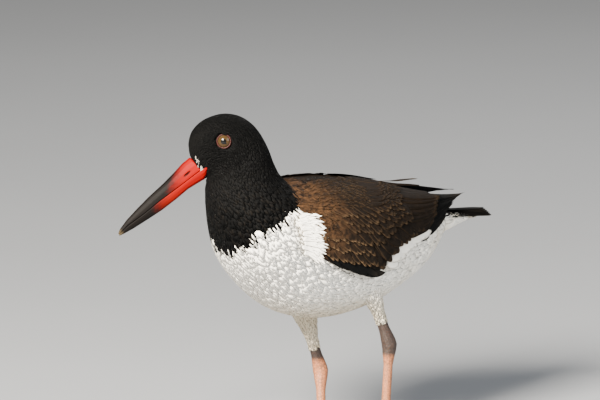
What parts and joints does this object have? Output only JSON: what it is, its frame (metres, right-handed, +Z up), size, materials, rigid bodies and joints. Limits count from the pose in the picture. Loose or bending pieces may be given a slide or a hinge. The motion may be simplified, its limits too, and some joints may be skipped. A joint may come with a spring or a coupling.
{
  "type": "oystercatcher",
  "caption": "Life-size American oystercatcher, a young bird standing in mid-step with its head turned, long bill held down and wings folded.",
  "frame": {"origin": "on the floor, at the middle of the bird's box seen from above", "axes": "+Z up, the body faces -Y with the tail to +Y, and the bird's left side is +X"},
  "size_m": [0.1192, 0.3332, 0.2784],
  "materials": {
    "white_plumage": "soft, matt white feathers",
    "black_plumage": "close black-brown feathers with a faint sheen",
    "brown_plumage": "dark brown feathers with pale worn fringes",
    "bill": "smooth orange-red horn, dusky towards the tip",
    "eye": "wet, clear cornea over a dull amber iris",
    "eyelid": "bare orange-red skin, finely wrinkled",
    "leg_skin": "pale flesh-coloured scaled skin",
    "claw": "dark worn horn"
  },
  "bodies": {
    "root": {"torso": "white_plumage", "neck": "black_plumage", "head": "black_plumage", "bill_upper": "bill", "bill_lower": "bill", "left_eye": "eye", "right_eye": "eye", "left_eyelid": "eyelid", "right_eyelid": "eyelid", "left_wing": "brown_plumage", "right_wing": "brown_plumage", "left_thigh": "white_plumage", "right_thigh": "white_plumage", "left_leg": "leg_skin", "right_leg": "leg_skin", "left_claw_inner": "claw", "left_claw_middle": "claw", "left_claw_outer": "claw", "right_claw_inner": "claw", "right_claw_middle": "claw", "right_claw_outer": "claw", "tail": "brown_plumage"}
  },
  "joints": []
}
